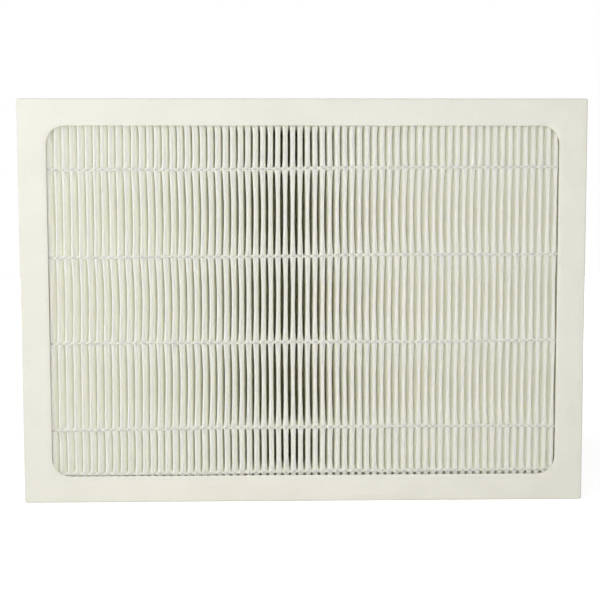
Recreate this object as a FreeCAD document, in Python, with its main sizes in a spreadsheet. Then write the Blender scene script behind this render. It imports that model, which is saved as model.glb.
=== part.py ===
import FreeCAD, Part
import math
import os
import Sketcher

# Air purifier filter cassette: a mini-pleat pack in a frame of two paperboard trays, with a foam
# gasket behind. X runs across, Y from front to back and Z up, and the origin is under the middle
# of the whole cassette. Lengths are in millimetres.

# Driving sizes
SIZES = (
    ("frame_width", 400.0, "outer width of the front tray"),
    ("frame_height", 286.0, "outer height of the front tray"),
    ("frame_depth", 50.0, "front face to the rear flange's outer face"),
    ("board_thickness", 0.8, "paperboard of both trays"),
    ("fold_radius", 0.8, "inner radius of every fold in the board"),
    ("wall_setback", 3.0, "rear flange's outer face to the rear edge of the front tray's walls"),
    ("tray_clearance", 0.1, "play on each side between the two trays"),
    ("side_flange", 20.0, "outer edge of the front tray to the window, left and right"),
    ("end_flange", 19.0, "outer edge of the front tray to the window, top and bottom"),
    ("window_radius", 13.0, "rounded corners of the window in both flanges"),
    ("flap_width", 20.0, "corner glue flap, measured along the top and bottom walls"),
    ("flap_setback", 3.0, "open edge of a wall to the end of its glue flaps"),
    ("flap_relief", 1.0, "fold at the flange to the start of the glue flaps"),
    ("seam_width", 0.3, "slit between a corner and the end of the top or bottom wall"),
    ("pleat_count", 74, "front tips of the pleated sheet"),
    ("media_thickness", 0.45, "filter paper"),
    ("tip_radius", 1.7, "outer radius of a fold in the filter paper"),
    ("outer_facets", 5, "flats that make the round outside of a fold"),
    ("inner_facets", 4, "flats that make the round inside of a fold"),
    ("side_seal_thickness", 3.0, "strip between the end pleats and a side wall"),
    ("potting_thickness", 2.0, "glue bed between the pleat ends and the top or bottom wall"),
    ("thread_height", 0.8, "how far a glue line stands out from the tips"),
    ("thread_width", 1.0, "upright width of a glue line"),
    ("web_setback", 4.8, "end of a glue web to the plane of the tips on the far side"),
    ("web_clearance", 0.02, "play on each side between a glue web and the narrowest place of its valley"),
    ("glue_spacing", 61.5, "between neighbouring glue lines in the open window"),
    ("glue_rise", 2.25, "middle of those four lines above the middle of the frame"),
    ("top_line_cover", 1.0, "upper end line above the upper edge of the window"),
    ("bottom_line_show", 1.7, "lower end line above the lower edge of the window"),
    ("gasket_width", 10.0, "foam strip on the rear flange"),
    ("gasket_thickness", 4.0, "foam strip on the rear flange"),
    ("gasket_inset", 4.0, "edge of the rear flange to the foam strip"),
)

doc = FreeCAD.newDocument("air_purifier_filter")
sheet = doc.addObject("Spreadsheet::Sheet", "Sizes")
for row, (alias, number, meaning) in enumerate(SIZES, start=1):
    sheet.set("A%d" % row, meaning)
    sheet.set("B%d" % row, str(number))
    sheet.setAlias("B%d" % row, alias)
doc.recompute()

# The smallest volume that a real cut takes away, in cubic millimetres, and the distance under
# which two depths are the same
LEAST_CUT = 0.5
SAME_DEPTH = 1e-6

# Sizes that follow from the driving ones, as expressions
FOLD_OUTER = "(Sizes.fold_radius + Sizes.board_thickness)"
TOTAL_DEPTH = "(Sizes.frame_depth + Sizes.gasket_thickness)"
HALF_HEIGHT = "(Sizes.frame_height / 2)"
REAR_WIDTH = "(Sizes.frame_width - 2 * Sizes.board_thickness - 2 * Sizes.tray_clearance)"
REAR_HEIGHT = "(Sizes.frame_height - 4 * Sizes.board_thickness - 2 * Sizes.tray_clearance)"
INSIDE_HALF_WIDTH = "(%s / 2 - Sizes.board_thickness)" % REAR_WIDTH
INSIDE_HALF_HEIGHT = "(%s / 2 - Sizes.board_thickness)" % REAR_HEIGHT
PACK_HALF_WIDTH = "(%s - Sizes.side_seal_thickness)" % INSIDE_HALF_WIDTH
PACK_HALF_HEIGHT = "(%s - Sizes.potting_thickness)" % INSIDE_HALF_HEIGHT
WINDOW_WIDTH = "(Sizes.frame_width - 2 * Sizes.side_flange)"
WINDOW_HEIGHT = "(Sizes.frame_height - 2 * Sizes.end_flange)"
PACK_FRONT = "(Sizes.board_thickness + Sizes.thread_height)"
PACK_REAR = "(Sizes.frame_depth - Sizes.board_thickness - Sizes.thread_height)"
PITCH = "((%s - Sizes.tip_radius) * 2 / (Sizes.pleat_count - 1))" % PACK_HALF_WIDTH
BED_FRONT = FOLD_OUTER
BED_REAR = "(Sizes.frame_depth - %s)" % FOLD_OUTER


def size(expression):
    return float(sheet.evalExpression(expression))


# Shared helpers
def new_body(label, facing_back=False):
    """A body whose own origin is the middle of a flange's outer face, with +Y into the cassette."""
    body = doc.addObject("PartDesign::Body", label)
    body.Label = label
    if facing_back:
        body.Placement.Rotation = FreeCAD.Rotation(FreeCAD.Vector(0, 0, 1), 180)
    front = "-%s / 2" % TOTAL_DEPTH
    body.setExpression("Placement.Base.y", front + (" + Sizes.frame_depth" if facing_back else ""))
    body.setExpression("Placement.Base.z", HALF_HEIGHT)
    return body


def new_sketch(body, name, plane, offset="0"):
    """A sketch on an origin plane of the body, moved along the plane's normal by the offset."""
    sketch = body.newObject("Sketcher::SketchObject", name)
    origin_plane = next(item for item in body.Origin.OriginFeatures if item.Role == plane)
    sketch.AttachmentSupport = [(origin_plane, "")]
    sketch.MapMode = "FlatFace"
    sketch.setExpression("AttachmentOffset.Base.z", offset)
    return sketch


def bind(sketch, kind, places, expression):
    index = sketch.addConstraint(Sketcher.Constraint(kind, *places, size(expression)))
    sketch.setExpression("Constraints[%d]" % index, expression)


def outline(sketch, corners):
    """A closed outline of straight lines through corners that are given as pairs of expressions."""
    points = [FreeCAD.Vector(size(across), size(up), 0) for across, up in corners]
    first = sketch.GeometryCount
    count = len(points)
    for index in range(count):
        sketch.addGeometry(Part.LineSegment(points[index], points[(index + 1) % count]))
    for index in range(count):
        following = first + (index + 1) % count
        sketch.addConstraint(Sketcher.Constraint("Coincident", first + index, 2, following, 1))
    for index, (across, up) in enumerate(corners):
        bind(sketch, "DistanceX", (-1, 1, first + index, 1), across)
        bind(sketch, "DistanceY", (-1, 1, first + index, 1), up)


def rectangle(sketch, left, right, bottom, top):
    outline(sketch, ((left, bottom), (right, bottom), (right, top), (left, top)))


def rounded_rectangle(sketch, width, height, radius):
    """A rectangle about the sketch's origin, its four corners rounded by tangent arcs."""
    half_width, half_height, round_off = size(width) / 2, size(height) / 2, size(radius)
    inner_x, inner_y = half_width - round_off, half_height - round_off
    ends = (
        ((-inner_x, -half_height), (inner_x, -half_height)),
        ((half_width, -inner_y), (half_width, inner_y)),
        ((inner_x, half_height), (-inner_x, half_height)),
        ((-half_width, inner_y), (-half_width, -inner_y)),
    )
    centres = ((inner_x, -inner_y), (inner_x, inner_y), (-inner_x, inner_y), (-inner_x, -inner_y))
    for start, end in ends:
        sketch.addGeometry(Part.LineSegment(FreeCAD.Vector(*start, 0), FreeCAD.Vector(*end, 0)))
    for index, centre in enumerate(centres):
        circle = Part.Circle(FreeCAD.Vector(*centre, 0), FreeCAD.Vector(0, 0, 1), round_off)
        start = -math.pi / 2 + index * math.pi / 2
        sketch.addGeometry(Part.ArcOfCircle(circle, start, start + math.pi / 2))
    for side in range(4):
        corner = 4 + side
        sketch.addConstraint(Sketcher.Constraint("Tangent", side, 2, corner, 1))
        sketch.addConstraint(Sketcher.Constraint("Tangent", corner, 2, (side + 1) % 4, 1))
        sketch.addConstraint(Sketcher.Constraint("Vertical" if side % 2 else "Horizontal", side))
    for corner in (5, 6, 7):
        sketch.addConstraint(Sketcher.Constraint("Equal", 4, corner))
    bind(sketch, "Radius", (4,), radius)
    bind(sketch, "DistanceX", (-1, 1, 1, 1), "%s / 2" % width)
    bind(sketch, "DistanceX", (3, 1, -1, 1), "%s / 2" % width)
    bind(sketch, "DistanceY", (-1, 1, 2, 1), "%s / 2" % height)
    bind(sketch, "DistanceY", (0, 1, -1, 1), "%s / 2" % height)


def pad(body, name, sketch, length, reverse=False, both_sides=False):
    feature = body.newObject("PartDesign::Pad", name)
    feature.Profile = sketch
    feature.Reversed = reverse
    feature.Midplane = both_sides
    feature.setExpression("Length", length)
    sketch.Visibility = False
    return feature


def pocket(body, name, sketch, length):
    before = body.Shape.Volume
    feature = body.newObject("PartDesign::Pocket", name)
    feature.Profile = sketch
    feature.setExpression("Length", length)
    doc.recompute()
    if before - body.Shape.Volume < LEAST_CUT:
        raise RuntimeError("%s cut nothing from %s" % (name, body.Label))
    return feature


def fold(body, name, radius, depth):
    """Rounds the edges whose middle lies at one depth behind the flange's outer face."""
    doc.recompute()
    base = body.Tip
    to_body = body.Placement.inverse()
    names = []
    for index, edge in enumerate(body.Shape.Edges, start=1):
        middle = edge.valueAt((edge.FirstParameter + edge.LastParameter) / 2)
        if abs(to_body.multVec(middle).y - size(depth)) < SAME_DEPTH:
            names.append("Edge%d" % index)
    feature = body.newObject("PartDesign::Fillet", name)
    feature.Base = (base, names)
    feature.setExpression("Radius", radius)
    return feature


# The two folded trays
def tray(label, width, height, depth, facing_back=False):
    """One folded blank: a flange with the window, four walls, four glue flaps and four seams."""
    body = new_body(label, facing_back)
    blank = new_sketch(body, label + "_outline", "XZ_Plane")
    rounded_rectangle(blank, width, height, FOLD_OUTER)
    pad(body, label + "_block", blank, depth, reverse=True)
    fold(body, label + "_outer_fold", FOLD_OUTER, "0")

    hollow = new_sketch(body, label + "_inside", "XZ_Plane", "-Sizes.board_thickness")
    inside_width = "(%s - 2 * Sizes.board_thickness)" % width
    inside_height = "(%s - 2 * Sizes.board_thickness)" % height
    rectangle(
        hollow, "-%s / 2" % inside_width, "%s / 2" % inside_width,
        "-%s / 2" % inside_height, "%s / 2" % inside_height,
    )
    doc.recompute()
    pocket(body, label + "_hollow", hollow, depth)
    fold(body, label + "_inner_fold", "Sizes.fold_radius", "Sizes.board_thickness")

    flap_start = "(%s + Sizes.flap_relief)" % FOLD_OUTER
    flaps = new_sketch(body, label + "_flap_outlines", "XZ_Plane", "-" + flap_start)
    seams = new_sketch(body, label + "_seam_outlines", "XZ_Plane", "-" + FOLD_OUTER)
    wall_inside = "(%s / 2 - Sizes.board_thickness)" % height
    for side in ("-", ""):
        for level in ("-", ""):
            flap_outer = "%s%s / 2" % (side, inside_width)
            flap_inner = "%s(%s / 2 - Sizes.flap_width)" % (side, inside_width)
            flap_under = "%s(%s - Sizes.board_thickness)" % (level, wall_inside)
            rectangle(flaps, flap_outer, flap_inner, flap_under, level + wall_inside)
            seam_outer = "%s(%s / 2 - %s)" % (side, width, FOLD_OUTER)
            seam_inner = "%s(%s / 2 - %s - Sizes.seam_width)" % (side, width, FOLD_OUTER)
            rectangle(seams, seam_outer, seam_inner, level + wall_inside, "%s%s / 2" % (level, height))
    doc.recompute()
    pocket(body, label + "_seams", seams, depth)
    pad(body, label + "_flaps", flaps, "%s - %s - Sizes.flap_setback" % (depth, flap_start), reverse=True)

    opening = new_sketch(body, label + "_window_outline", "XZ_Plane")
    rounded_rectangle(opening, WINDOW_WIDTH, WINDOW_HEIGHT, "Sizes.window_radius")
    doc.recompute()
    pocket(body, label + "_window", opening, FOLD_OUTER)
    return body


# The pleated sheet
def pleated_sheet(label):
    """One sheet folded into upright pleats: creases round every tip, and flat walls between."""
    pitch = size(PITCH)
    outer = size("Sizes.tip_radius")
    inner = outer - size("Sizes.media_thickness")
    outer_facets = int(size("Sizes.outer_facets"))
    inner_facets = int(size("Sizes.inner_facets"))
    crown = outer * math.cos(math.pi / 2 / outer_facets)
    rear = size(PACK_REAR)
    front_centre = size(PACK_FRONT) + crown
    rear_centre = rear - crown
    tips = int(size("Sizes.pleat_count"))
    first_tip = -pitch * (tips - 1) / 2

    # Between a front tip and a rear tip the wall leans, so that it is tangent to both.
    run = math.hypot(pitch / 2, rear_centre - front_centre)
    lean = math.asin((outer + inner) / run) - math.asin(pitch / 2 / run)

    def tip(centre_x, centre_y, radius, facets, start, end):
        """The creases of one fold, evenly spaced from angle to angle."""
        step = (end - start) / facets
        return [
            FreeCAD.Vector(
                centre_x + radius * math.cos(start + step * crease),
                centre_y + radius * math.sin(start + step * crease),
                0,
            )
            for crease in range(facets + 1)
        ]

    def surface(front_radius, front_facets, rear_radius, rear_facets):
        """The creases of one face of the sheet, from the left end pleat to the right end pleat."""
        points = [FreeCAD.Vector(first_tip - front_radius, rear, 0)]
        for index in range(tips):
            centre_x = first_tip + index * pitch
            points += tip(
                centre_x, front_centre, front_radius, front_facets, math.pi - lean, 2 * math.pi + lean
            )
            if index < tips - 1:
                middle_x = centre_x + pitch / 2
                points += tip(
                    middle_x, rear_centre, rear_radius, rear_facets, math.pi + lean, -lean
                )
        points.append(FreeCAD.Vector(-points[0].x, rear, 0))
        return points

    front_face = surface(outer, outer_facets, inner, inner_facets)
    rear_face = surface(inner, inner_facets, outer, outer_facets)
    creases = front_face + list(reversed(rear_face))
    profile = Part.Face(Part.makePolygon(creases + creases[:1]))
    half_height = size(PACK_HALF_HEIGHT)
    profile.translate(FreeCAD.Vector(0, 0, -half_height))

    sheet_piece = doc.addObject("Part::Feature", label)
    sheet_piece.Label = label
    sheet_piece.Shape = profile.extrude(FreeCAD.Vector(0, 0, 2 * half_height))
    sheet_piece.Placement.Base = FreeCAD.Vector(0, -size(TOTAL_DEPTH) / 2, size(HALF_HEIGHT))
    return sheet_piece


# The hot-melt lines that hold the pleats apart
def glue_line(label, height, facing_back=False):
    """A thread across all the tips of one face. In front it has a web in each valley."""
    body = new_body(label, facing_back)
    thread = new_sketch(body, label + "_thread_outline", "XY_Plane", height)
    rectangle(thread, "-" + PACK_HALF_WIDTH, PACK_HALF_WIDTH, "Sizes.board_thickness", PACK_FRONT)
    pad(body, label + "_thread", thread, "Sizes.thread_width", both_sides=True)
    if facing_back:
        return body

    web = new_sketch(body, label + "_web_outline", "XY_Plane", height)
    valley = "(-%s * (Sizes.pleat_count / 2 - 1))" % PITCH
    half_web = "(%s / 2 - Sizes.tip_radius - Sizes.web_clearance)" % PITCH
    outline(web, (
        ("%s - %s" % (valley, half_web), PACK_FRONT),
        ("%s + %s" % (valley, half_web), PACK_FRONT),
        (valley, "%s - Sizes.web_setback" % PACK_REAR),
    ))
    tooth = pad(body, label + "_web", web, "Sizes.thread_width", both_sides=True)
    doc.recompute()
    row = body.newObject("PartDesign::LinearPattern", label + "_webs")
    row.Originals = [tooth]
    across = next(item for item in body.Origin.OriginFeatures if item.Role == "X_Axis")
    row.Direction = (across, [""])
    row.setExpression("Length", "%s * (Sizes.pleat_count - 2)" % PITCH)
    row.setExpression("Occurrences", "Sizes.pleat_count - 1")
    body.Tip = row
    return body


# Glue beds, side strips and gasket
def block(label, left, right, bottom, top, front, rear):
    """A straight piece between two planes in each direction."""
    body = new_body(label)
    section = new_sketch(body, label + "_section", "XZ_Plane", "-" + front)
    rectangle(section, left, right, bottom, top)
    pad(body, label + "_length", section, "%s - %s" % (rear, front), reverse=True)
    return body


def potting(label, level):
    """The glue bed at one end of the pleats, stepped to pass the rear tray's glue flaps."""
    flap_under = "(%s - Sizes.board_thickness)" % INSIDE_HALF_HEIGHT
    end = "(%s - Sizes.fold_radius)" % INSIDE_HALF_WIDTH
    body = block(
        label, "-" + end, end, level + PACK_HALF_HEIGHT, level + flap_under, BED_FRONT, BED_REAR
    )
    between = "(%s - Sizes.flap_width - Sizes.fold_radius)" % INSIDE_HALF_WIDTH
    step = new_sketch(body, label + "_step_section", "XZ_Plane", "-" + BED_FRONT)
    rectangle(step, "-" + between, between, level + flap_under, level + INSIDE_HALF_HEIGHT)
    pad(body, label + "_step", step, "%s - %s" % (BED_REAR, BED_FRONT), reverse=True)
    return body


def side_seal(label, inner, outer):
    return block(
        label, inner, outer, "-" + PACK_HALF_HEIGHT, PACK_HALF_HEIGHT, BED_FRONT, BED_REAR
    )


def gasket_strip(label, left, right, bottom, top):
    return block(label, left, right, bottom, top, "Sizes.frame_depth", TOTAL_DEPTH)


pieces = [
    tray(
        "front_frame", "Sizes.frame_width", "Sizes.frame_height",
        "(Sizes.frame_depth - Sizes.wall_setback)",
    ),
    tray("rear_frame", REAR_WIDTH, REAR_HEIGHT, "(Sizes.frame_depth - %s)" % FOLD_OUTER, True),
    pleated_sheet("pleated_media"),
]

LINE_HEIGHTS = (
    "%s / 2 + Sizes.top_line_cover" % WINDOW_HEIGHT,
    "Sizes.glue_rise + 1.5 * Sizes.glue_spacing",
    "Sizes.glue_rise + 0.5 * Sizes.glue_spacing",
    "Sizes.glue_rise - 0.5 * Sizes.glue_spacing",
    "Sizes.glue_rise - 1.5 * Sizes.glue_spacing",
    "Sizes.bottom_line_show - %s / 2" % WINDOW_HEIGHT,
)
for number, line_height in enumerate(LINE_HEIGHTS, start=1):
    pieces.append(glue_line("front_glue_line_%d" % number, line_height))
    pieces.append(glue_line("rear_glue_line_%d" % number, line_height, facing_back=True))

pieces += [
    potting("top_potting", ""),
    potting("bottom_potting", "-"),
    side_seal("left_side_seal", "-" + INSIDE_HALF_WIDTH, "-" + PACK_HALF_WIDTH),
    side_seal("right_side_seal", PACK_HALF_WIDTH, INSIDE_HALF_WIDTH),
]

GASKET_OUTER_X = "(%s / 2 - Sizes.gasket_inset)" % REAR_WIDTH
GASKET_INNER_X = "(%s - Sizes.gasket_width)" % GASKET_OUTER_X
GASKET_OUTER_Z = "(%s / 2 - Sizes.gasket_inset)" % REAR_HEIGHT
GASKET_INNER_Z = "(%s - Sizes.gasket_width)" % GASKET_OUTER_Z
pieces += [
    gasket_strip("gasket_top", "-" + GASKET_OUTER_X, GASKET_OUTER_X, GASKET_INNER_Z, GASKET_OUTER_Z),
    gasket_strip(
        "gasket_bottom", "-" + GASKET_OUTER_X, GASKET_OUTER_X, "-" + GASKET_OUTER_Z, "-" + GASKET_INNER_Z
    ),
    gasket_strip(
        "gasket_left", "-" + GASKET_OUTER_X, "-" + GASKET_INNER_X, "-" + GASKET_INNER_Z, GASKET_INNER_Z
    ),
    gasket_strip(
        "gasket_right", GASKET_INNER_X, GASKET_OUTER_X, "-" + GASKET_INNER_Z, GASKET_INNER_Z
    ),
]

# Every object has to be sound before anything is written
doc.recompute()
for item in doc.Objects:
    if "Invalid" in item.State or "Error" in item.State:
        raise RuntimeError("%s failed: %s" % (item.Name, item.State))
for piece in pieces:
    if piece.Shape.isNull() or not piece.Shape.isValid() or not piece.Shape.Solids:
        raise RuntimeError("%s has no valid solid" % piece.Label)

os.makedirs("parts", exist_ok=True)
for piece in pieces:
    piece.Shape.exportStep("parts/%s.step" % piece.Label)
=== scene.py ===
import math

import bpy
import numpy as np
from mathutils import Matrix, Vector


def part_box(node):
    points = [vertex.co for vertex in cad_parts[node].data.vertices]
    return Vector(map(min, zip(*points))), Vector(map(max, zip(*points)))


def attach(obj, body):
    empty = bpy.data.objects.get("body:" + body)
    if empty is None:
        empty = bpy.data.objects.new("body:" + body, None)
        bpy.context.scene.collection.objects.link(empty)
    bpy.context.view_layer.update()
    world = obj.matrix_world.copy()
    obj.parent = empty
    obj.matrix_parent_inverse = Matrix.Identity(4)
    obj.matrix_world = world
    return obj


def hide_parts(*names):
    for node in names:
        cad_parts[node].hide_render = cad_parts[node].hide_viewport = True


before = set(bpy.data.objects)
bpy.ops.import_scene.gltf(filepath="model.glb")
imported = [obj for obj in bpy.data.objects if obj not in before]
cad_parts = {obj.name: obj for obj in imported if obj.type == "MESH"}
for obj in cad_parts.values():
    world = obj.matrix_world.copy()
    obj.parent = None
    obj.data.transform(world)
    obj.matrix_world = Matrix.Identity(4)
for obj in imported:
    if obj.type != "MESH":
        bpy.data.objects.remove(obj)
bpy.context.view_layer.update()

# Air purifier filter cassette. Lengths are in metres, X across, Y from front to back, Z up.
random = np.random.default_rng(74)
MM = 0.001

# Sizes of the folded board, as the construction has them
BOARD = 0.8 * MM
FOLD_OUTER = 1.6 * MM
FOLD_INNER = 0.8 * MM
SIDE_FLANGE = 20 * MM
END_FLANGE = 19 * MM
WINDOW_RADIUS = 13 * MM
FLAP_WIDTH = 20 * MM
FLAP_SETBACK = 3 * MM
FLAP_START = 2.6 * MM
SEAM = 0.3 * MM

# Sizes of the pleated sheet
PLEATS = 74
PAPER = 0.45 * MM
PAPER_SCATTER = 2.0 * MM
PAPER_REACH = (0.95, 0.96, 1.25)
# Paper colours: near-white at the front, painted light on the valley walls, and darker toward the rear
# folds, painted shade deep in the valleys; the same depths turn the paper opaque.
PAPER_SHADE_FROM = (0 * MM, 13 * MM)
PAPER_LIT_FRONT = ((0.988, 0.986, 0.94, 1), (0.996, 0.994, 0.955, 1))
PAPER_SHADED_REAR = ((0.84, 0.83, 0.72, 1), (0.89, 0.88, 0.77, 1))
TIP_RADIUS = 1.7 * MM
TIP_HALF_FREE = 0.9 * MM
TIP_HALF_GLUED = 1.95 * MM
TIP_CLEARANCE = 0.15 * MM
TIP_LENGTH_FREE = 4.2 * MM
TIP_LENGTH_GLUED = 2.6 * MM
PINCH_LENGTH = 20 * MM
KNUCKLE = 0.5 * MM
KNUCKLE_LENGTH = 1.2 * MM
REAR_HALF = 1.4 * MM
FRONT_SEGMENTS = 8
REAR_SEGMENTS = 5
ROW_STEP = 16 * MM
END_DRIFT = (1.7 * MM, 0.9 * MM)
SWAY_SHARED = 0.26 * MM
SWAY_SINGLE = 0.06 * MM
TWIST = 0.05 * MM
SEAT_PLAY = 0.08 * MM
PLUMP_SPREAD = 0.035
STAND_SPREAD = 0.12 * MM
LINE_ROWS = (-7.0 * MM, -2.2 * MM, -0.6 * MM, 0.6 * MM, 2.2 * MM, 7.0 * MM)

# Sizes of the glue lines
GLUE_LINES = 6
GLUE_SCATTER = 2.0 * MM
# Glue colours: near-white inside the valleys, painted light on the webs' shaded undersides, and darker
# toward the outer faces at the nose.
GLUE_NOSE_FROM = (22.5 * MM, 24.5 * MM)
GLUE_LIT_WEB = ((0.985, 0.98, 0.93, 1), (0.993, 0.99, 0.945, 1))
GLUE_NOSE_TONES = ((0.70, 0.695, 0.62, 1), (0.75, 0.745, 0.66, 1))
BEAD_HALF = 0.55 * MM
BEAD_STAND = 0.65 * MM
BEAD_DIP = 1.0 * MM
BEAD_SINK = 0.1 * MM
BEAD_UNEVEN = 0.1
FOLD_SWELL = 1.4
VALLEY_SWELL = 2.0
NOSE_ROUND = 0.16 * MM
NOSE_REACH = 0.6
NOSE_SHARES = (0.2, 0.72, 0.98, 1.0)
WEB_ROWS = 6
WEB_CROWDING = 1.6
WEB_THIN = 0.9
WEB_FILLET = 1.1
WEB_SETBACK = 4.8 * MM
VALLEY_SHARES = (0.25, 0.5, 0.75)
LINE_SLOPE = 0.0047
LINE_WAVE = 0.3 * MM
LINE_RIPPLES = ((17, 1.0), (38, 0.6), (90, 0.35))
TOP_LINE_LIFT = 0.6 * MM

# Sizes of the tray's mesh
CORNER_SEGMENTS = 8
FOLD_SEGMENTS = 6
WALL_ROWS = 5
FLANGE_SHARES = np.linspace(0, 1, 7)[1:-1]
SEAM_EDGE = 0.03 * MM
SEAM_DEPTH = 0.75 * MM
FLANGE_WAVE = 0.08 * MM
WALL_WAVE = 0.15 * MM
WAVES = 6
WAVE_TURNS = (6, 22)
WAVE_PHASES = (0, 6.3)
CRUSHED_EDGE = 0.22 * MM
LIP_RINGS = 4
CUT_DEPTH = 0.2 * MM
EDGE_BULGE = 0.02 * MM
LEAST_ROUND = 0.25 * MM
FLAP_SLANT = 3 * MM
FLAP_PLAY = 0.02 * MM
BOARD_TONES = ((0.724, 0.714, 0.636, 1), (0.695, 0.685, 0.607, 1))
# Cut edges: the cream of the raw board, lighter than the face, painted highlight along the window's lip.
CUT_AND_HIGHLIGHT_TONES = ((0.84, 0.81, 0.68, 1), (0.76, 0.73, 0.60, 1))

# Sizes of the foam strips
FOAM_ROUND = 0.7 * MM
FOAM_SEGMENTS = 4
FOAM_STEP = 2.5 * MM
FOAM_LIMIT = 1.5
FOAM_UNEVEN = (0.012, 0.02)
FOAM_END_DIP = (0.05, 0.08)
FOAM_TONES = ((0.80, 0.80, 0.78, 1), (0.66, 0.66, 0.64, 1))

# Camera and light
CAMERA_LENS = 47.2
CAMERA_PLACE = (-0.0112, -0.5829, 0.176)
CAMERA_PITCH = 3.21
CAMERA_YAW = 0.85
CAMERA_ROLL = 0.15
WORLD_LEVEL = 0.36
FLOOR_GLOW = 0.45
FLOOR_FADE = (0.3, 1.2)
FLOOR_HALF = 6.0
LAMPS = (
    ("left", (-0.6, -0.5, 0.45), (-0.1, 0, 0.15), (0.3, 0.5), 2.0),
    ("front_left", (-0.34, -1.12, 0.35), (0, 0, 0.15), (0.3, 0.5), 1.3),
    ("front_right", (0.2, -1.02, 0.35), (0.0, 0, 0.15), (0.3, 0.5), 3.8),
    ("back", (0.3, 1.4, 0.9), (0, 0, 0.15), (1.0, 1.0), 5.0),
)
DIFFUSE_BOUNCES = 15


# Meshes
def to_mesh(name, points, faces, materials, smooth_angle=None):
    """A linked object from arrays of points and faces, with smooth shading up to an angle."""
    mesh = bpy.data.meshes.new(name)
    mesh.from_pydata(np.asarray(points).tolist(), [], [list(face) for face in faces])
    mesh.polygons.foreach_set("use_smooth", np.ones(len(mesh.polygons), bool))
    if smooth_angle is not None:
        mesh.set_sharp_from_angle(angle=math.radians(smooth_angle))
    for material in materials:
        mesh.materials.append(material)
    mesh.update()
    piece = bpy.data.objects.new(name, mesh)
    bpy.context.scene.collection.objects.link(piece)
    return piece


def stands_for(piece, slot, *nodes):
    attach(piece, "root")
    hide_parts(*nodes)


def grid_faces(columns, rows, start=0, flip=False):
    """Quads of a grid whose points run row by row along its columns."""
    corner = (np.arange(columns - 1)[:, None] * rows + np.arange(rows - 1)[None, :]).ravel() + start
    quads = np.stack((corner, corner + rows, corner + rows + 1, corner + 1), axis=1)
    return quads[:, ::-1] if flip else quads


def soft_noise(count, reach):
    """Seeded noise of about unit size, smoothed over a reach of so many steps."""
    pad = int(4 * reach) + 1
    steps = np.arange(-pad, pad + 1)
    kernel = np.exp(-0.5 * (steps / reach) ** 2)
    kernel /= math.sqrt((kernel ** 2).sum())
    return np.convolve(random.normal(size=count + 2 * pad), kernel, mode="valid")[:count]


def side_shares(length, count):
    """Places along a straight side, from 0 to 1, with two for each edge of a corner seam."""
    slit, edge = SEAM / length, SEAM_EDGE / length
    ends = np.array([0, edge, slit - edge, slit])
    middle = np.linspace(slit, 1 - slit, count)[1:-1]
    return np.concatenate((ends, middle, 1 - ends[::-1]))


# Materials
def new_material(name, roughness):
    material = bpy.data.materials.new(name)
    material.use_nodes = True
    shader = material.node_tree.nodes["Principled BSDF"]
    shader.inputs["Roughness"].default_value = roughness
    return material, shader


def node(material, kind, inputs=(), **settings):
    """A new node, its inputs given as values or as the sockets that feed them."""
    made = material.node_tree.nodes.new(kind)
    for key, value in settings.items():
        setattr(made, key, value)
    for key, value in dict(inputs).items():
        if isinstance(value, bpy.types.NodeSocket):
            material.node_tree.links.new(value, made.inputs[key])
        else:
            made.inputs[key].default_value = value
    return made


def link(material, source, target):
    material.node_tree.links.new(source, target)


def noise(material, scale, detail=2.0, stretch=(1, 1, 1), turn=(0, 0, 0)):
    """Noise in the object's own metres, so many waves a metre, stretched and turned."""
    place_of = node(material, "ShaderNodeTexCoord").outputs["Object"]
    mapped = node(
        material, "ShaderNodeMapping", {"Vector": place_of, "Scale": stretch, "Rotation": turn}
    ).outputs["Vector"]
    return node(
        material, "ShaderNodeTexNoise", {"Vector": mapped, "Scale": scale, "Detail": detail}
    ).outputs["Fac"]


def cells(material, scale):
    """Distance to the middle of the nearest cell, so many cells a metre."""
    place_of = node(material, "ShaderNodeTexCoord").outputs["Object"]
    return node(
        material, "ShaderNodeTexVoronoi", {"Vector": place_of, "Scale": scale}
    ).outputs["Distance"]


def depth_of(material):
    """The place along Y, from front to back."""
    place_of = node(material, "ShaderNodeTexCoord").outputs["Object"]
    return node(material, "ShaderNodeSeparateXYZ", {"Vector": place_of}).outputs["Y"]


def spread(material, value, low, high):
    """The value's range from low to high, mapped to 0 to 1."""
    return node(
        material, "ShaderNodeMapRange", {"Value": value, "From Min": low, "From Max": high}
    ).outputs["Result"]


def mix(material, share, first, second):
    made = node(material, "ShaderNodeMix", data_type="RGBA")
    for index, value in ((0, share), (6, first), (7, second)):
        if isinstance(value, bpy.types.NodeSocket):
            link(material, value, made.inputs[index])
        else:
            made.inputs[index].default_value = value
    return made.outputs[2]


def add(material, first, second, share):
    """first + second * share"""
    return node(
        material, "ShaderNodeMath", {0: second, 1: share, 2: first}, operation="MULTIPLY_ADD"
    ).outputs[0]


def bump(material, shader, height, distance, strength=1.0):
    made = node(
        material, "ShaderNodeBump", {"Height": height, "Distance": distance, "Strength": strength}
    )
    link(material, made.outputs["Normal"], shader.inputs["Normal"])


def board_material(name, tones, grain_distance):
    """Coated paperboard: cloudy tone, a fine grain and short fibres under the coating."""
    material, shader = new_material(name, 0.72)
    clouds = spread(material, noise(material, 45, 2), 0.3, 0.7)
    fibres = spread(material, noise(material, 700, 2, (1, 1, 0.35), (0.2, 0, 0.3)), 0.35, 0.65)
    share = add(material, clouds, fibres, 0.35)
    pale, dark = tones
    link(material, mix(material, share, dark, pale), shader.inputs["Base Color"])
    grain = add(material, noise(material, 1600, 1), fibres, 0.6)
    bump(material, shader, grain, grain_distance, 0.6)
    return material


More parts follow.
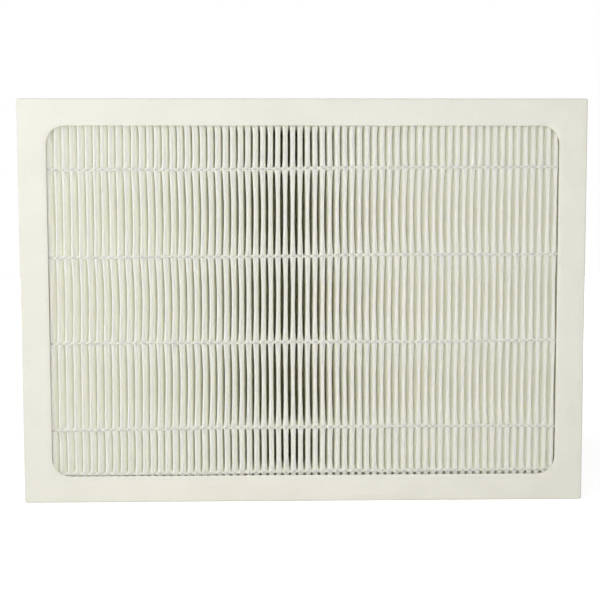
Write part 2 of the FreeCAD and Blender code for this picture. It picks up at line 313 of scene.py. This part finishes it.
def filter_paper():
    """Filter fleece: it lets much light through; near-white at the front as painted light on the valley
    walls, and opaque and darker toward the rear folds as painted shade deep in the valleys.
    """
    material, shader = new_material("filter_paper", 0.95)
    clouds = spread(material, noise(material, 110, 1), 0.3, 0.7)
    fibres = noise(material, 1300, 1, (1, 1, 0.22), (0.0, 0.12, 0))
    crossing = noise(material, 1300, 1, (0.3, 0.3, 1), (0.3, 0, 0.4))
    weave = add(material, fibres, crossing, 1.0)
    share = add(material, clouds, spread(material, weave, 0.75, 1.25), 0.5)
    # Near-white at the front, painted light on the valley walls; darker toward the rear folds, painted
    # shade deep in the valleys.
    lit_front, shaded_rear = mix(material, share, *PAPER_LIT_FRONT), mix(material, share, *PAPER_SHADED_REAR)
    toward_rear = spread(material, depth_of(material), *PAPER_SHADE_FROM)
    link(material, mix(material, toward_rear, lit_front, shaded_rear), shader.inputs["Base Color"])
    light = node(material, "ShaderNodeMath", {0: 1.0, 1: toward_rear}, operation="SUBTRACT").outputs[0]
    link(material, light, shader.inputs["Subsurface Weight"])
    shader.inputs["Subsurface Radius"].default_value = PAPER_REACH
    shader.inputs["Subsurface Scale"].default_value = PAPER_SCATTER
    shader.inputs["Specular IOR Level"].default_value = 0.15
    bump(material, shader, weave, 0.12 * MM, 0.7)
    return material


def hot_melt():
    """White hot-melt glue: smooth and translucent, with faint flow marks; near-white deep in the valleys as
    painted light on the webs, and darker at the nose.
    """
    material, shader = new_material("hot_melt", 0.5)
    flow = spread(material, noise(material, 500, 1, (0.3, 1, 1)), 0.3, 0.7)
    # Near-white inside the valleys, painted light on the webs' shaded undersides; darker toward the outer
    # faces at the nose.
    nose_tone, clear = mix(material, flow, *GLUE_NOSE_TONES), mix(material, flow, *GLUE_LIT_WEB)
    outward = node(
        material, "ShaderNodeMath", {0: depth_of(material)}, operation="ABSOLUTE"
    ).outputs[0]
    share = spread(material, outward, *GLUE_NOSE_FROM)
    link(material, mix(material, share, clear, nose_tone), shader.inputs["Base Color"])
    shader.inputs["Subsurface Weight"].default_value = 0.9
    shader.inputs["Subsurface Radius"].default_value = (1.0, 1.0, 0.9)
    shader.inputs["Subsurface Scale"].default_value = GLUE_SCATTER
    shader.inputs["Specular IOR Level"].default_value = 0.25
    bump(material, shader, noise(material, 900, 1), 0.08 * MM, 0.5)
    return material


def seal_foam():
    """Pale closed-cell foam: a skin of fine cells."""
    material, shader = new_material("seal_foam", 0.9)
    pores = cells(material, 1500)
    share = add(material, spread(material, pores, 0.0, 0.6), noise(material, 120, 3), 0.4)
    link(material, mix(material, share, *FOAM_TONES), shader.inputs["Base Color"])
    bump(material, shader, add(material, pores, noise(material, 3000, 2), 0.3), 0.25 * MM, 0.8)
    return material


# The pleated sheet
front_low, front_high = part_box("front_frame")
WINDOW_HALF = (
    (front_high.x - front_low.x) / 2 - SIDE_FLANGE,
    (front_high.z - front_low.z) / 2 - END_FLANGE,
)
SIDE_SHARES_X = side_shares(front_high.x - front_low.x - 2 * FOLD_OUTER, 61)
SIDE_SHARES_Z = side_shares(front_high.z - front_low.z - 2 * FOLD_OUTER, 45)

media_low, media_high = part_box("pleated_media")
PITCH = (media_high.x - TIP_RADIUS) * 2 / (PLEATS - 1)
TIP_CENTRES = (np.arange(PLEATS) - (PLEATS - 1) / 2) * PITCH


def line_heights():
    """The middle height of each glue line, from the lowest up."""
    boxes = [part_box("front_glue_line_%d" % number) for number in range(1, GLUE_LINES + 1)]
    return sorted((low.z + high.z) / 2 for low, high in boxes)


LINES = line_heights()
STOPS = np.array([media_low.z] + LINES + [media_high.z])
spread_out = (TIP_CENTRES / WINDOW_HALF[0]) ** 4
fixed_ends = (TIP_CENTRES[-1] - np.abs(TIP_CENTRES)) / (TIP_CENTRES[-1] - WINDOW_HALF[0])
drift = np.where(TIP_CENTRES < 0, -END_DRIFT[0], END_DRIFT[1]) * np.minimum(spread_out, fixed_ends)
sway = [
    SWAY_SHARED * soft_noise(PLEATS, 5) + SWAY_SINGLE * random.normal(size=PLEATS)
    for _ in STOPS[1:]
]
twist = [TWIST * soft_noise(PLEATS, 3) for _ in STOPS[1:]]
seat = [drift + SEAT_PLAY * soft_noise(PLEATS, 2) for _ in STOPS]
plump = 1 + PLUMP_SPREAD * random.normal(size=PLEATS)
stand = STAND_SPREAD * random.random(size=PLEATS)
line_waves = [random.uniform(0, 2 * math.pi, len(LINE_RIPPLES)) for _ in range(GLUE_LINES)]


def line_wander(line, across):
    """How far a glue line runs above its even height at each place across."""
    ripples = zip(LINE_RIPPLES, line_waves[line])
    wave = sum(size * np.sin(across * turns + phase) for (turns, size), phase in ripples)
    rise = LINE_SLOPE * across + LINE_WAVE * wave
    return np.maximum(rise, TOP_LINE_LIFT) if line == GLUE_LINES - 1 else rise


def row_wander(level, across):
    """The same for a row of the sheet, between the lines, and none at the sheet's ends."""
    stop = int(np.clip(np.searchsorted(STOPS, level) - 1, 0, len(STOPS) - 2))
    along = (level - STOPS[stop]) / (STOPS[stop + 1] - STOPS[stop])
    below = line_wander(stop - 1, across) if stop > 0 else 0
    above = line_wander(stop, across) if stop < len(LINES) else 0
    return below * (1 - along) + above * along


def tip_shift(level):
    """How far each front tip stands from its even place, at one height."""
    span = int(np.clip(np.searchsorted(STOPS, level) - 1, 0, len(STOPS) - 2))
    along = (level - STOPS[span]) / (STOPS[span + 1] - STOPS[span])
    length = (STOPS[span + 1] - STOPS[span]) / (STOPS[3] - STOPS[2])
    wave = sway[span] * math.sin(math.pi * along) + twist[span] * math.sin(2 * math.pi * along)
    return seat[span] * (1 - along) + seat[span + 1] * along + wave * length


def tip_shape(level):
    """Half the width and the length of each front fold: wide and blunt where glue holds it."""
    nearest = min(abs(level - line) for line in LINES)
    flare = math.exp(-nearest / PINCH_LENGTH)
    half = TIP_HALF_FREE * plump * (1 - flare) + TIP_HALF_GLUED * flare
    half = half + KNUCKLE * math.exp(-nearest / KNUCKLE_LENGTH)
    return half, TIP_LENGTH_FREE * (1 - flare) + TIP_LENGTH_GLUED * flare


def centre_line(level):
    """The middle of the sheet's thickness across all pleats at one height, as X and Y pairs."""
    shift = tip_shift(level)
    radius, length = tip_shape(level)
    front_x = TIP_CENTRES + shift
    spacing = np.diff(front_x)
    room = np.minimum(np.append(spacing, spacing[-1]), np.append(spacing[0], spacing))
    radius = np.minimum(radius, room / 2 - TIP_CLEARANCE)
    front_x[0] = media_low.x + radius[0]
    front_x[-1] = media_high.x - radius[-1]
    front_y = media_low.y + length + stand
    rear_x = (TIP_CENTRES[:-1] + TIP_CENTRES[1:]) / 2 + (shift[:-1] + shift[1:]) / 2
    rear_outer = REAR_HALF * (plump[:-1] + plump[1:]) / 2
    rear_y = media_high.y - rear_outer - stand[:-1]
    fold, back_fold = radius - PAPER / 2, rear_outer - PAPER / 2

    def crossing(from_x, from_y, from_r, to_x, to_y, to_r):
        """Direction to the far fold, and the angle from it to the wall's tangent point."""
        away = np.arctan2(to_y - from_y, to_x - from_x)
        reach = np.hypot(to_x - from_x, to_y - from_y)
        return away, np.arccos((from_r + to_r) / reach)

    rightward, right_turn = crossing(front_x[:-1], front_y[:-1], fold[:-1], rear_x, rear_y, back_fold)
    leftward, left_turn = crossing(front_x[1:], front_y[1:], fold[1:], rear_x, rear_y, back_fold)
    leave = np.append(rightward - right_turn, 0.0) + 2 * math.pi
    arrive = np.append(math.pi, leftward + left_turn)
    rear_start = rightward - right_turn + math.pi
    rear_end = leftward + left_turn - math.pi

    points = [(media_low.x + PAPER / 2, media_high.y)]
    for index in range(PLEATS):
        turns = np.linspace(arrive[index], leave[index], FRONT_SEGMENTS + 1)
        stretch = np.where(np.sin(turns) < 0, length - PAPER / 2, fold[index])
        points += list(zip(
            front_x[index] + fold[index] * np.cos(turns), front_y[index] + stretch * np.sin(turns)
        ))
        if index < PLEATS - 1:
            turns = np.linspace(rear_start[index], rear_end[index], REAR_SEGMENTS + 1)
            points += list(zip(
                rear_x[index] + back_fold[index] * np.cos(turns),
                rear_y[index] + back_fold[index] * np.sin(turns),
            ))
    points.append((media_high.x - PAPER / 2, media_high.y))
    return np.array(points)


def paper_faces(level):
    """The front and the rear face of the sheet at one height."""
    middle = centre_line(level)
    steps = np.diff(middle, axis=0)
    steps /= np.linalg.norm(steps, axis=1)[:, None]
    along = np.vstack((steps[:1], steps[:-1] + steps[1:], steps[-1:]))
    along /= np.linalg.norm(along, axis=1)[:, None]
    outward = np.stack((along[:, 1], -along[:, 0]), axis=1)
    return middle + outward * PAPER / 2, middle - outward * PAPER / 2


def row_levels():
    """Heights of the mesh rows: close together at the glue lines and wider between."""
    levels = {float(media_low.z), float(media_high.z)}
    for line in LINES:
        levels.update(line + step for step in LINE_ROWS)
    marks = sorted(levels)
    for below, above in zip(marks, marks[1:]):
        parts = max(1, round((above - below) / ROW_STEP))
        levels.update(below + (above - below) * part / parts for part in range(1, parts))
    return sorted(levels)


def pleated_paper(material):
    levels = row_levels()
    faces_at = [paper_faces(level) for level in levels]
    columns, rows = len(faces_at[0][0]), len(levels)
    points = np.empty((2, columns, rows, 3))
    for row, level in enumerate(levels):
        for side in (0, 1):
            points[side, :, row, :2] = faces_at[row][side]
            points[side, :, row, 2] = level + row_wander(level, faces_at[row][side][:, 0])
    count = columns * rows
    front, rear = grid_faces(columns, rows), grid_faces(columns, rows, count, flip=True)
    ends = []
    for edge, flip in (
        (np.arange(columns) * rows, True), (np.arange(columns) * rows + rows - 1, False),
        (np.arange(rows), False), (np.arange(rows) + (columns - 1) * rows, True),
    ):
        quads = np.stack((edge[:-1], edge[1:], edge[1:] + count, edge[:-1] + count), axis=1)
        ends.append(quads[:, ::-1] if flip else quads)
    faces = np.vstack([front, rear] + ends)
    piece = to_mesh("pleated_paper", points.reshape(-1, 3), faces, [material], 60)
    stands_for(piece, "filter_paper", "pleated_media")
    return piece


# Glue lines
def fold_arcs(face, of_rear):
    """The points of a face that lie round its front folds, or round its rear folds."""
    period = FRONT_SEGMENTS + REAR_SEGMENTS + 2
    start = 1 + (FRONT_SEGMENTS + 1 if of_rear else 0)
    points = (REAR_SEGMENTS if of_rear else FRONT_SEGMENTS) + 1
    folds = PLEATS - 1 if of_rear else PLEATS
    return [face[start + index * period:start + index * period + points] for index in range(folds)]


def bead_supports(height, facing_back):
    """The folds that a bead crosses, and for each valley between them the fold at its far end."""
    front_face, rear_face = paper_faces(height)
    if facing_back:
        ends = rear_face[:1], rear_face[-1:]
        return [ends[0]] + fold_arcs(rear_face, True) + [ends[1]], fold_arcs(rear_face, False)
    return fold_arcs(front_face, False), fold_arcs(front_face, True)


def slab(flat, half, quads, level_at):
    """A closed plate over quads in the XY plane, so thick at each point, round a given level."""
    flat, half = np.array(flat), np.array(half)
    level = level_at(flat[:, 0])
    points = np.vstack((
        np.column_stack((flat, level + half)), np.column_stack((flat, level - half)),
    ))
    count = len(flat)
    edges = {edge for quad in quads for edge in zip(quad, quad[1:] + quad[:1])}
    faces = [list(quad) for quad in quads]
    faces += [[corner + count for corner in reversed(quad)] for quad in quads]
    faces += [[b, a, a + count, b + count] for a, b in edges if (b, a) not in edges]
    return points, faces


def bead_columns(supports, inward, outer, flat, half):
    """Points of the thread, four from its nose to the paper, across every fold and valley."""
    thread, flanks = [], []

    def column(across, inner, nose, thick):
        start = len(flat)
        depths = (nose, nose + inward * NOSE_ROUND, nose + (inner - nose) * NOSE_REACH, inner)
        for depth, share in zip(depths, NOSE_SHARES):
            flat.append((across, depth))
            half.append(share * thick)
        thread.append(range(start, len(flat)))

    middles = [arc[:, 0].mean() for arc in supports]
    for index, arc in enumerate(supports):
        swell = 1 + BEAD_UNEVEN * random.normal()
        first = len(thread)
        for across, surface in arc:
            away = min(1.0, abs(across - middles[index]) / (PITCH / 2))
            nose = outer + inward * (BEAD_STAND + BEAD_DIP * away ** 3)
            thick = BEAD_HALF * (1 + FOLD_SWELL * away ** 3) * swell
            column(across, surface + inward * BEAD_SINK, nose, thick)
        flanks.append((first, len(thread) - 1))
        if index + 1 < len(supports):
            left, right = arc[-1], supports[index + 1][0]
            for share in VALLEY_SHARES:
                across, surface = left + (right - left) * share
                nose = outer + inward * (BEAD_STAND + BEAD_DIP)
                thick = BEAD_HALF * (VALLEY_SWELL + abs(share - 0.5)) * swell
                column(across, surface + inward * BEAD_SINK, nose, thick)
    return thread, flanks


def wall_point(near, far, depth):
    """The point of a straight pleat wall at one depth."""
    return near + (far - near) * (depth - near[1]) / (far[1] - near[1])


def glue_bead(name, replaced, line, facing_back, material):
    """A bead across the folds of one face, with a web that fills every valley to its depth."""
    height = LINES[line]
    supports, far_folds = bead_supports(height, facing_back)
    low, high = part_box(replaced)
    inward = -1 if facing_back else 1
    outer = high.y if facing_back else low.y
    reach = media_low.y + WEB_SETBACK if facing_back else media_high.y - WEB_SETBACK
    flat, half = [], []
    thread, flanks = bead_columns(supports, inward, outer, flat, half)
    quads = []
    for left, right in zip(thread, thread[1:]):
        quads += [
            (left[row], right[row], right[row + 1], left[row + 1]) for row in range(len(left) - 1)
        ]
    for valley, far in enumerate(far_folds):
        above = [thread[place][-1] for place in range(flanks[valley][1], flanks[valley + 1][0] + 1)]
        start = flat[above[0]][1]
        swell = 1 + BEAD_UNEVEN * random.normal()
        for row in range(1, WEB_ROWS + 1):
            deep = (row / WEB_ROWS) ** WEB_CROWDING
            depth = start + (reach - start) * deep
            left = wall_point(supports[valley][-1], far[0], depth)
            right = wall_point(supports[valley + 1][0], far[-1], depth)
            below = []
            for share in (0,) + VALLEY_SHARES + (1,):
                below.append(len(flat))
                flat.append((left[0] + (right[0] - left[0]) * share, depth))
                fillet = (1 - deep) ** 3 * (WEB_FILLET + abs(share - 0.5))
                half.append(BEAD_HALF * swell * (WEB_THIN + fillet))
            quads += [
                (above[place], above[place + 1], below[place + 1], below[place])
                for place in range(len(above) - 1)
            ]
            above = below
    if facing_back:
        quads = [quad[::-1] for quad in quads]
    points, faces = slab(flat, half, quads, lambda across: height + line_wander(line, across))
    piece = to_mesh(name, points, faces, [material], 70)
    stands_for(piece, "hot_melt", replaced)
    return piece


# Folded trays
def tray_outline(half_width, half_height, radius):
    """Points round a rectangle with rounded corners, always as many and in the same order."""
    flat_x, flat_z = half_width - radius, half_height - radius
    along_x = flat_x * (2 * SIDE_SHARES_X - 1)
    along_z = flat_z * (2 * SIDE_SHARES_Z - 1)
    bend = np.linspace(0, math.pi / 2, CORNER_SEGMENTS + 1)[1:-1]

    def corner(centre_x, centre_z, start):
        turns = start + bend
        return np.column_stack((centre_x + radius * np.cos(turns), centre_z + radius * np.sin(turns)))

    return np.vstack((
        np.column_stack((along_x, np.full_like(along_x, -half_height))),
        corner(flat_x, -flat_z, -math.pi / 2),
        np.column_stack((np.full_like(along_z, half_width), along_z)),
        corner(flat_x, flat_z, 0),
        np.column_stack((-along_x, np.full_like(along_x, half_height))),
        corner(-flat_x, flat_z, math.pi / 2),
        np.column_stack((np.full_like(along_z, -half_width), -along_z)),
        corner(-flat_x, -flat_z, math.pi),
    ))


def seam_marks():
    """1 at the outline's points that lie in the slit of a corner seam, and 0 elsewhere."""
    across = np.zeros(len(SIDE_SHARES_X))
    across[[1, 2, -3, -2]] = 1
    corner, up = np.zeros(CORNER_SEGMENTS - 1), np.zeros(len(SIDE_SHARES_Z))
    return np.concatenate((across, corner, up, corner, across, corner, up, corner))


def tray_rings(half_width, half_height, depth):
    """The board's section as rings round the tray: each a closed line and its depth."""
    def wall(inset):
        radius = max(FOLD_OUTER - inset, LEAST_ROUND)
        return tray_outline(half_width - inset, half_height - inset, radius)

    def window(grow):
        return tray_outline(WINDOW_HALF[0] + grow, WINDOW_HALF[1] + grow, WINDOW_RADIUS + grow)

    rings = [
        (window(0), BOARD - CRUSHED_EDGE), (window(-EDGE_BULGE), BOARD / 2),
        (window(0), CRUSHED_EDGE), (window(CRUSHED_EDGE), 0.0),
    ]
    start, end = window(CRUSHED_EDGE), wall(FOLD_OUTER)
    rings += [(start + (end - start) * share, 0.0) for share in FLANGE_SHARES]
    for turn in np.linspace(0, math.pi / 2, FOLD_SEGMENTS + 1):
        rings.append((wall(FOLD_OUTER * (1 - math.sin(turn))), FOLD_OUTER * (1 - math.cos(turn))))
    for level in np.linspace(FOLD_OUTER, depth - CRUSHED_EDGE, WALL_ROWS + 1)[1:]:
        rings.append((wall(0), level))
    rings += [(wall(CRUSHED_EDGE), depth), (wall(BOARD - CRUSHED_EDGE), depth)]
    for level in np.linspace(depth - CRUSHED_EDGE, FOLD_OUTER, WALL_ROWS + 1):
        rings.append((wall(BOARD), level))
    for turn in np.linspace(math.pi / 2, 0, FOLD_SEGMENTS)[1:]:
        inset = BOARD + FOLD_INNER * (1 - math.sin(turn))
        rings.append((wall(inset), BOARD + FOLD_INNER * (1 - math.cos(turn))))
    rings += [(start + (end - start) * share, BOARD) for share in FLANGE_SHARES[::-1]]
    rings.append((window(CRUSHED_EDGE), BOARD))
    return rings


def settled_ring(ring, level, half_width, half_height, depth, waves):
    """A ring's places across, behind and up, with open corner seams and board that isn't quite flat."""
    across, up = ring[:, 0], ring[:, 1]
    if level > FOLD_OUTER + SEAM_EDGE:
        open_seam = seam_marks() * (np.abs(up) > half_height - BOARD / 2)
        up = up - np.sign(up) * open_seam * SEAM_DEPTH
    uneven = sum(np.sin(across * a + b + up * c) for a, b, c in waves) / len(waves)
    sink = FLANGE_WAVE * (1 + uneven) * (level <= BOARD)
    settle = WALL_WAVE * (1 + uneven) * np.sin(math.pi * np.clip(level / depth, 0, 1))
    at_side = np.abs(across) > half_width - FOLD_OUTER
    at_end = np.abs(up) > half_height - FOLD_OUTER
    across = across - np.sign(across) * settle * at_side * (1 - (up / half_height) ** 4)
    up = up - np.sign(up) * settle * at_end * (1 - (across / half_width) ** 4) * (up > 0)
    behind = level + sink * np.clip(1 - level / (2 * BOARD), 0, 1)
    if level > depth - BOARD:
        behind = np.full(len(ring), level)
    return across, behind, up


def folded_tray(name, replaced, facing_back, board, edge_and_highlight):
    """One folded board blank: flange with the window, four walls, open seams and glue flaps."""
    low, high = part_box(replaced)
    half_width, half_height = (high.x - low.x) / 2, (high.z - low.z) / 2
    depth, centre_z = high.y - low.y, (high.z + low.z) / 2
    rings = tray_rings(half_width, half_height, depth)
    columns = len(rings[0][0])
    waves = [
        (random.uniform(*WAVE_TURNS), random.uniform(*WAVE_PHASES), random.uniform(*WAVE_TURNS))
        for _ in range(WAVES)
    ]
    points, cut_and_highlight_rings = [], []
    for number, (ring, level) in enumerate(rings):
        across, behind, up = settled_ring(ring, level, half_width, half_height, depth, waves)
        y = high.y - behind if facing_back else low.y + behind
        points.append(np.column_stack((across, y, up + centre_z)))
        # Rings of the window's lip and of the walls' rear edge take the cut-edge tones, lighter than the
        # face: painted highlight along the lip.
        cut_and_highlight_rings.append(level > depth - CUT_DEPTH or number < LIP_RINGS)
    points = np.vstack(points)
    faces, slots = [], []
    for ring in range(len(rings)):
        following = (ring + 1) % len(rings)
        edge = cut_and_highlight_rings[ring] and cut_and_highlight_rings[following]
        for place in range(columns):
            right = (place + 1) % columns
            quad = [
                ring * columns + place, ring * columns + right,
                following * columns + right, following * columns + place,
            ]
            faces.append(quad if facing_back else quad[::-1])
            slots.append(1 if edge else 0)
    for side in (-1, 1):
        for end in (-1, 1):
            flap_points, flap_faces = glue_flap(half_width, half_height, depth, side, end)
            y = high.y - flap_points[:, 1] if facing_back else low.y + flap_points[:, 1]
            flap_points = np.column_stack((flap_points[:, 0], y, flap_points[:, 2] + centre_z))
            start = len(points)
            turned = (side * end > 0) != facing_back
            faces += [
                [corner + start for corner in (face if turned else face[::-1])]
                for face in flap_faces
            ]
            slots += [0] * len(flap_faces)
            points = np.vstack((points, flap_points))
    piece = to_mesh(name, points, faces, [board, edge_and_highlight], 50)
    piece.data.polygons.foreach_set("material_index", np.array(slots))
    stands_for(piece, "frame_board", replaced)
    return piece


def glue_flap(half_width, half_height, depth, side, end):
    """A flap glued inside the end of a top or bottom wall, its free corners cut at a slant."""
    outer, inner = half_width - BOARD, half_width - BOARD - FLAP_WIDTH
    start, stop = FLAP_START, depth - FLAP_SETBACK
    shape = [
        (outer, start), (inner + FLAP_SLANT, start), (inner, start + FLAP_SLANT),
        (inner, stop - FLAP_SLANT), (inner + FLAP_SLANT, stop), (outer, stop),
    ]
    top, bottom = half_height - BOARD - FLAP_PLAY, half_height - 2 * BOARD
    points = np.array([(side * x, y, end * z) for z in (top, bottom) for x, y in shape])
    count = len(shape)
    faces = [list(range(count)), list(range(2 * count - 1, count - 1, -1))]
    following = list(range(1, count)) + [0]
    faces += [[b, a, a + count, b + count] for a, b in zip(range(count), following)]
    return points, faces


# Foam gasket
def foam_shrink(value, end_share, uneven, end_dip):
    """The share of its full size that a strip has at one place, from the noise there."""
    return 1 - uneven * (FOAM_LIMIT + np.clip(value, -FOAM_LIMIT, FOAM_LIMIT)) - end_dip * end_share


def foam_strip(name, replaced, upright, material):
    """A die-cut foam strip: soft edges, and faces that are a little uneven."""
    low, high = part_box(replaced)
    length = (high.z - low.z) if upright else (high.x - low.x)
    width = (high.x - low.x) if upright else (high.z - low.z)
    thick = high.y - low.y
    half_w, half_t = width / 2, thick / 2
    section = []
    for corner_w, corner_t, start in (
        (half_w - FOAM_ROUND, half_t - FOAM_ROUND, 0), (FOAM_ROUND - half_w, half_t - FOAM_ROUND, 90),
        (FOAM_ROUND - half_w, FOAM_ROUND - half_t, 180), (half_w - FOAM_ROUND, FOAM_ROUND - half_t, 270),
    ):
        for turn in np.radians(start + np.linspace(0, 90, FOAM_SEGMENTS + 1)):
            section.append((corner_w + FOAM_ROUND * math.cos(turn), corner_t + FOAM_ROUND * math.sin(turn)))
    section = np.array(section)
    rows = int(length / FOAM_STEP) + 1
    places = np.linspace(-length / 2, length / 2, rows)
    pinch_w, pinch_t = soft_noise(rows, 3), soft_noise(rows, 3)
    points = []
    for place_along, w, t in zip(places, pinch_w, pinch_t):
        end_share = 1 - min(1.0, (length / 2 - abs(place_along)) / FOAM_ROUND)
        across = section[:, 0] * foam_shrink(w, end_share, FOAM_UNEVEN[0], FOAM_END_DIP[0])
        shrink = foam_shrink(t, end_share, FOAM_UNEVEN[1], FOAM_END_DIP[1])
        out = -half_t + (section[:, 1] + half_t) * shrink
        along = np.full(len(section), place_along)
        points.append(np.column_stack((across, out, along) if upright else (along, out, across)))
    centre = (low + high) / 2
    points = np.vstack(points) + np.array(centre)
    count = len(section)
    faces = []
    for row in range(rows - 1):
        for place_round in range(count):
            right = (place_round + 1) % count
            faces.append([
                row * count + place_round, row * count + right,
                (row + 1) * count + right, (row + 1) * count + place_round,
            ])
    faces.append(list(range(count))[::-1])
    faces.append(list(range((rows - 1) * count, rows * count)))
    if not upright:
        faces = [face[::-1] for face in faces]
    piece = to_mesh(name, points, faces, [material], 50)
    stands_for(piece, "seal_foam", replaced)
    return piece


# Floor, background and lamps
def white_floor():
    """A pale floor that keeps shadows and is seen as white where none falls."""
    corners = [(x * FLOOR_HALF, y * FLOOR_HALF, 0) for x, y in ((-1, -1), (1, -1), (1, 1), (-1, 1))]
    material, shader = new_material("pale_floor", 0.9)
    shader.inputs["Base Color"].default_value = (0.9, 0.9, 0.9, 1)
    seen = node(material, "ShaderNodeLightPath").outputs["Is Camera Ray"]
    place_of = node(material, "ShaderNodeTexCoord").outputs["Object"]
    away = node(material, "ShaderNodeVectorMath", {0: place_of}, operation="LENGTH").outputs["Value"]
    far = node(material, "ShaderNodeMapRange", {
        "Value": away, "From Min": FLOOR_FADE[0], "From Max": FLOOR_FADE[1],
        "To Min": FLOOR_GLOW, "To Max": 1.0,
    }).outputs["Result"]
    glow = node(material, "ShaderNodeMath", {0: seen, 1: far}, operation="MULTIPLY").outputs[0]
    shader.inputs["Emission Color"].default_value = (1, 1, 1, 1)
    link(material, glow, shader.inputs["Emission Strength"])
    floor = to_mesh("floor", np.array(corners), [[0, 1, 2, 3]], [material])


def white_world():
    """White where the camera, gloss or glass looks at it, and a plain soft level as light."""
    world = bpy.data.worlds.new("studio")
    bpy.context.scene.world = world
    world.use_nodes = True
    background = world.node_tree.nodes["Background"]
    path = node(world, "ShaderNodeLightPath").outputs
    seen = path["Is Camera Ray"]
    for ray in ("Is Glossy Ray", "Is Transmission Ray"):
        seen = node(world, "ShaderNodeMath", {0: seen, 1: path[ray]}, operation="MAXIMUM").outputs[0]
    level = node(
        world, "ShaderNodeMapRange", {"Value": seen, "To Min": WORLD_LEVEL, "To Max": 1.0}
    ).outputs["Result"]
    link(world, level, background.inputs["Strength"])
    background.inputs["Color"].default_value = (1, 1, 1, 1)


def soft_lamp(name, place_at, aim_at, size, power):
    light = bpy.data.lights.new(name, "AREA")
    light.shape = "RECTANGLE"
    light.size, light.size_y = size
    light.energy = power
    lamp = bpy.data.objects.new(name, light)
    lamp.location = place_at
    aim = Vector(aim_at) - Vector(place_at)
    lamp.rotation_euler = aim.to_track_quat("-Z", "Y").to_euler()
    lamp.visible_camera = False
    bpy.context.scene.collection.objects.link(lamp)


def photo_camera():
    data = bpy.data.cameras.new("camera")
    data.lens = CAMERA_LENS
    data.sensor_width = 36
    data.clip_start, data.clip_end = 0.01, 20
    camera = bpy.data.objects.new("camera", data)
    turn = (
        Matrix.Rotation(math.radians(90), 4, "X")
        @ Matrix.Rotation(math.radians(-CAMERA_YAW), 4, "Y")
        @ Matrix.Rotation(math.radians(-CAMERA_PITCH), 4, "X")
        @ Matrix.Rotation(math.radians(-CAMERA_ROLL), 4, "Z")
    )
    camera.matrix_world = Matrix.Translation(CAMERA_PLACE) @ turn
    bpy.context.scene.collection.objects.link(camera)
    bpy.context.scene.camera = camera


paper, glue, foam = filter_paper(), hot_melt(), seal_foam()
board = board_material("frame_board", BOARD_TONES, 0.05 * MM)
# Cut edges: the raw board's cream, lighter than the face, painted highlight along the window's lip.
cut_and_highlight_board = board_material("board_edge_and_highlight", CUT_AND_HIGHLIGHT_TONES, 0.15 * MM)

pleated_paper(paper)
for line in range(GLUE_LINES):
    number = GLUE_LINES - line
    glue_bead("front_bead_%d" % number, "front_glue_line_%d" % number, line, False, glue)
    glue_bead("rear_bead_%d" % number, "rear_glue_line_%d" % number, line, True, glue)
folded_tray("front_tray", "front_frame", False, board, cut_and_highlight_board)
folded_tray("rear_tray", "rear_frame", True, board, cut_and_highlight_board)
for side, upright in (("top", False), ("bottom", False), ("left", True), ("right", True)):
    foam_strip("foam_" + side, "gasket_" + side, upright, foam)
for name, material in (
    ("top_potting", glue), ("bottom_potting", glue),
    ("left_side_seal", foam), ("right_side_seal", foam),
):
    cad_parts[name].data.materials.clear()
    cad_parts[name].data.materials.append(material)

white_floor()
white_world()
for lamp in LAMPS:
    soft_lamp(*lamp)
photo_camera()
bpy.context.scene.view_settings.view_transform = "Standard"
bpy.context.scene.cycles.diffuse_bounces = DIFFUSE_BOUNCES
bpy.context.scene.cycles.max_bounces = DIFFUSE_BOUNCES
